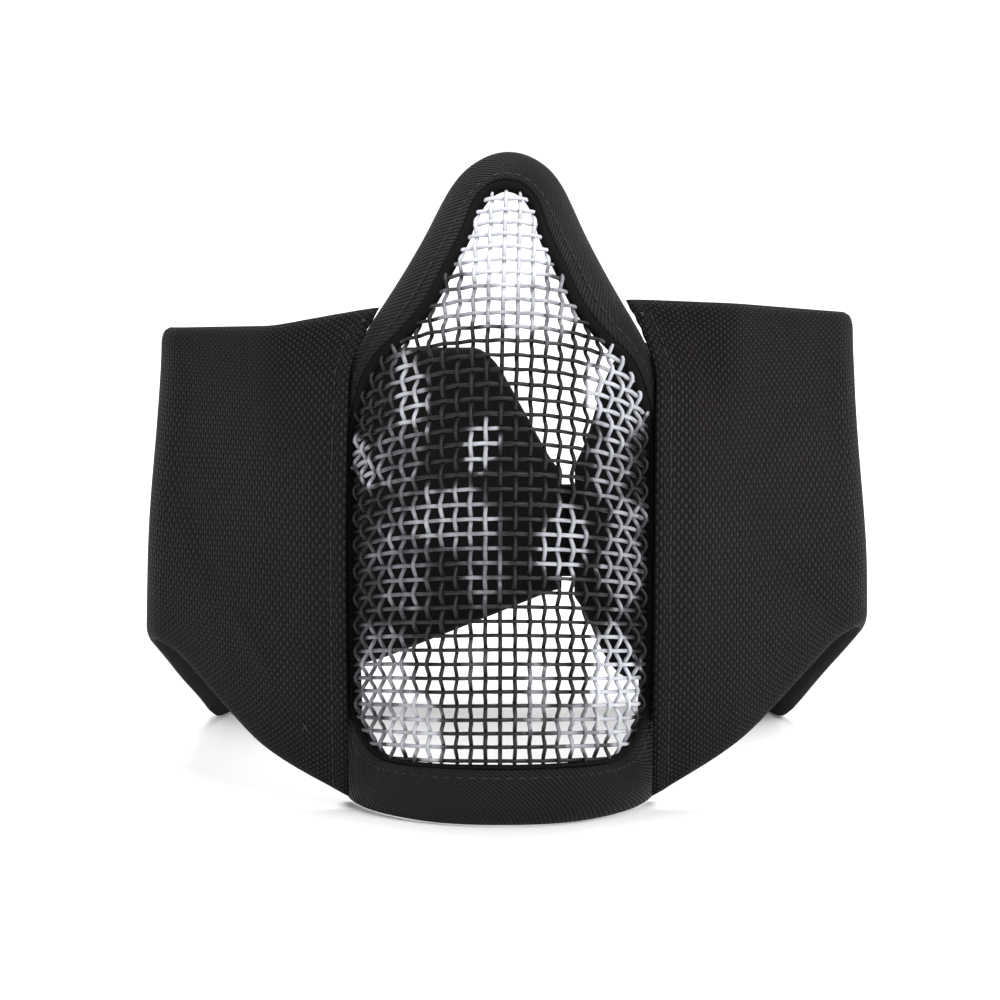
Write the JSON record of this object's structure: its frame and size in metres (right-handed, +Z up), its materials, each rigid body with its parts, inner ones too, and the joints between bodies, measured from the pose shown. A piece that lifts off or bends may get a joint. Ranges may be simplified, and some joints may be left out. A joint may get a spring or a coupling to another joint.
{
  "type": "mesh lower-face guard",
  "caption": "Mesh lower-face guard: bowed woven steel wire panel in a webbing edge, with padded cheek panels and ear flaps that fold outward and close behind the head with a hook strap.",
  "frame": {"origin": "on the surface that the guard stands on, under the middle of its outline in plan", "axes": "+Z up, the wearer faces -Y, +X to the right as seen from the front"},
  "size_m": [0.1816, 0.1608, 0.16],
  "materials": {
    "painted_wire": "semi-matt black, grey and white camouflage paint on woven steel wire",
    "webbing": "black twill webbing",
    "tape": "black seam tape",
    "oxford_cloth": "black basket-weave nylon cloth",
    "lining_cloth": "black knitted lining",
    "padding": "closed-cell foam",
    "hook_cloth": "hook tape",
    "loop_cloth": "loop tape"
  },
  "bodies": {
    "face_guard": {"upright_wires": "painted_wire", "level_wires": "painted_wire", "nose_edge": "webbing", "left_side_edge": "webbing", "right_side_edge": "webbing", "chin_edge": "webbing", "nose_pad": "padding", "left_seam_tape": "tape", "right_seam_tape": "tape"},
    "left_cheek": {"left_cheek_cover": "oxford_cloth", "left_cheek_foam": "padding", "left_cheek_lining": "lining_cloth"},
    "right_cheek": {"right_cheek_cover": "oxford_cloth", "right_cheek_foam": "padding", "right_cheek_lining": "lining_cloth"},
    "left_ear": {"left_ear_cover": "oxford_cloth", "left_ear_foam": "padding", "left_ear_lining": "lining_cloth", "strap_backing": "webbing", "strap_base": "webbing"},
    "right_ear": {"right_ear_cover": "oxford_cloth", "right_ear_foam": "padding", "right_ear_lining": "lining_cloth", "loop_patch": "loop_cloth"},
    "closure": {"strap": "webbing", "hook_patch": "hook_cloth", "pull_tab": "webbing"}
  },
  "joints": [
    {"name": "left_cheek_fold", "type": "hinge", "parent": "face_guard", "child": "left_cheek", "pos_m": [-0.03805, -0.0604, 0.06], "axis": [0, 0, 1], "range_deg": [0, 40]},
    {"name": "right_cheek_fold", "type": "hinge", "parent": "face_guard", "child": "right_cheek", "pos_m": [0.03805, -0.0604, 0.06], "axis": [0, 0, -1], "range_deg": [0, 40]},
    {"name": "left_ear_fold", "type": "hinge", "parent": "left_cheek", "child": "left_ear", "pos_m": [-0.09015, -0.0135, 0.06], "axis": [0, 0, 1], "range_deg": [0, 75]},
    {"name": "right_ear_fold", "type": "hinge", "parent": "right_cheek", "child": "right_ear", "pos_m": [0.09015, -0.0135, 0.06], "axis": [0, 0, -1], "range_deg": [0, 75]},
    {"name": "strap_peel", "type": "hinge", "parent": "left_ear", "child": "closure", "pos_m": [0.008, 0.07919, 0.06], "axis": [0, 0, 1], "range_deg": [0, 150]}
  ],
  "couplings": [
    {"joint": "right_cheek_fold", "follows": "left_cheek_fold", "ratio": 1},
    {"joint": "right_ear_fold", "follows": "left_ear_fold", "ratio": 1}
  ]
}
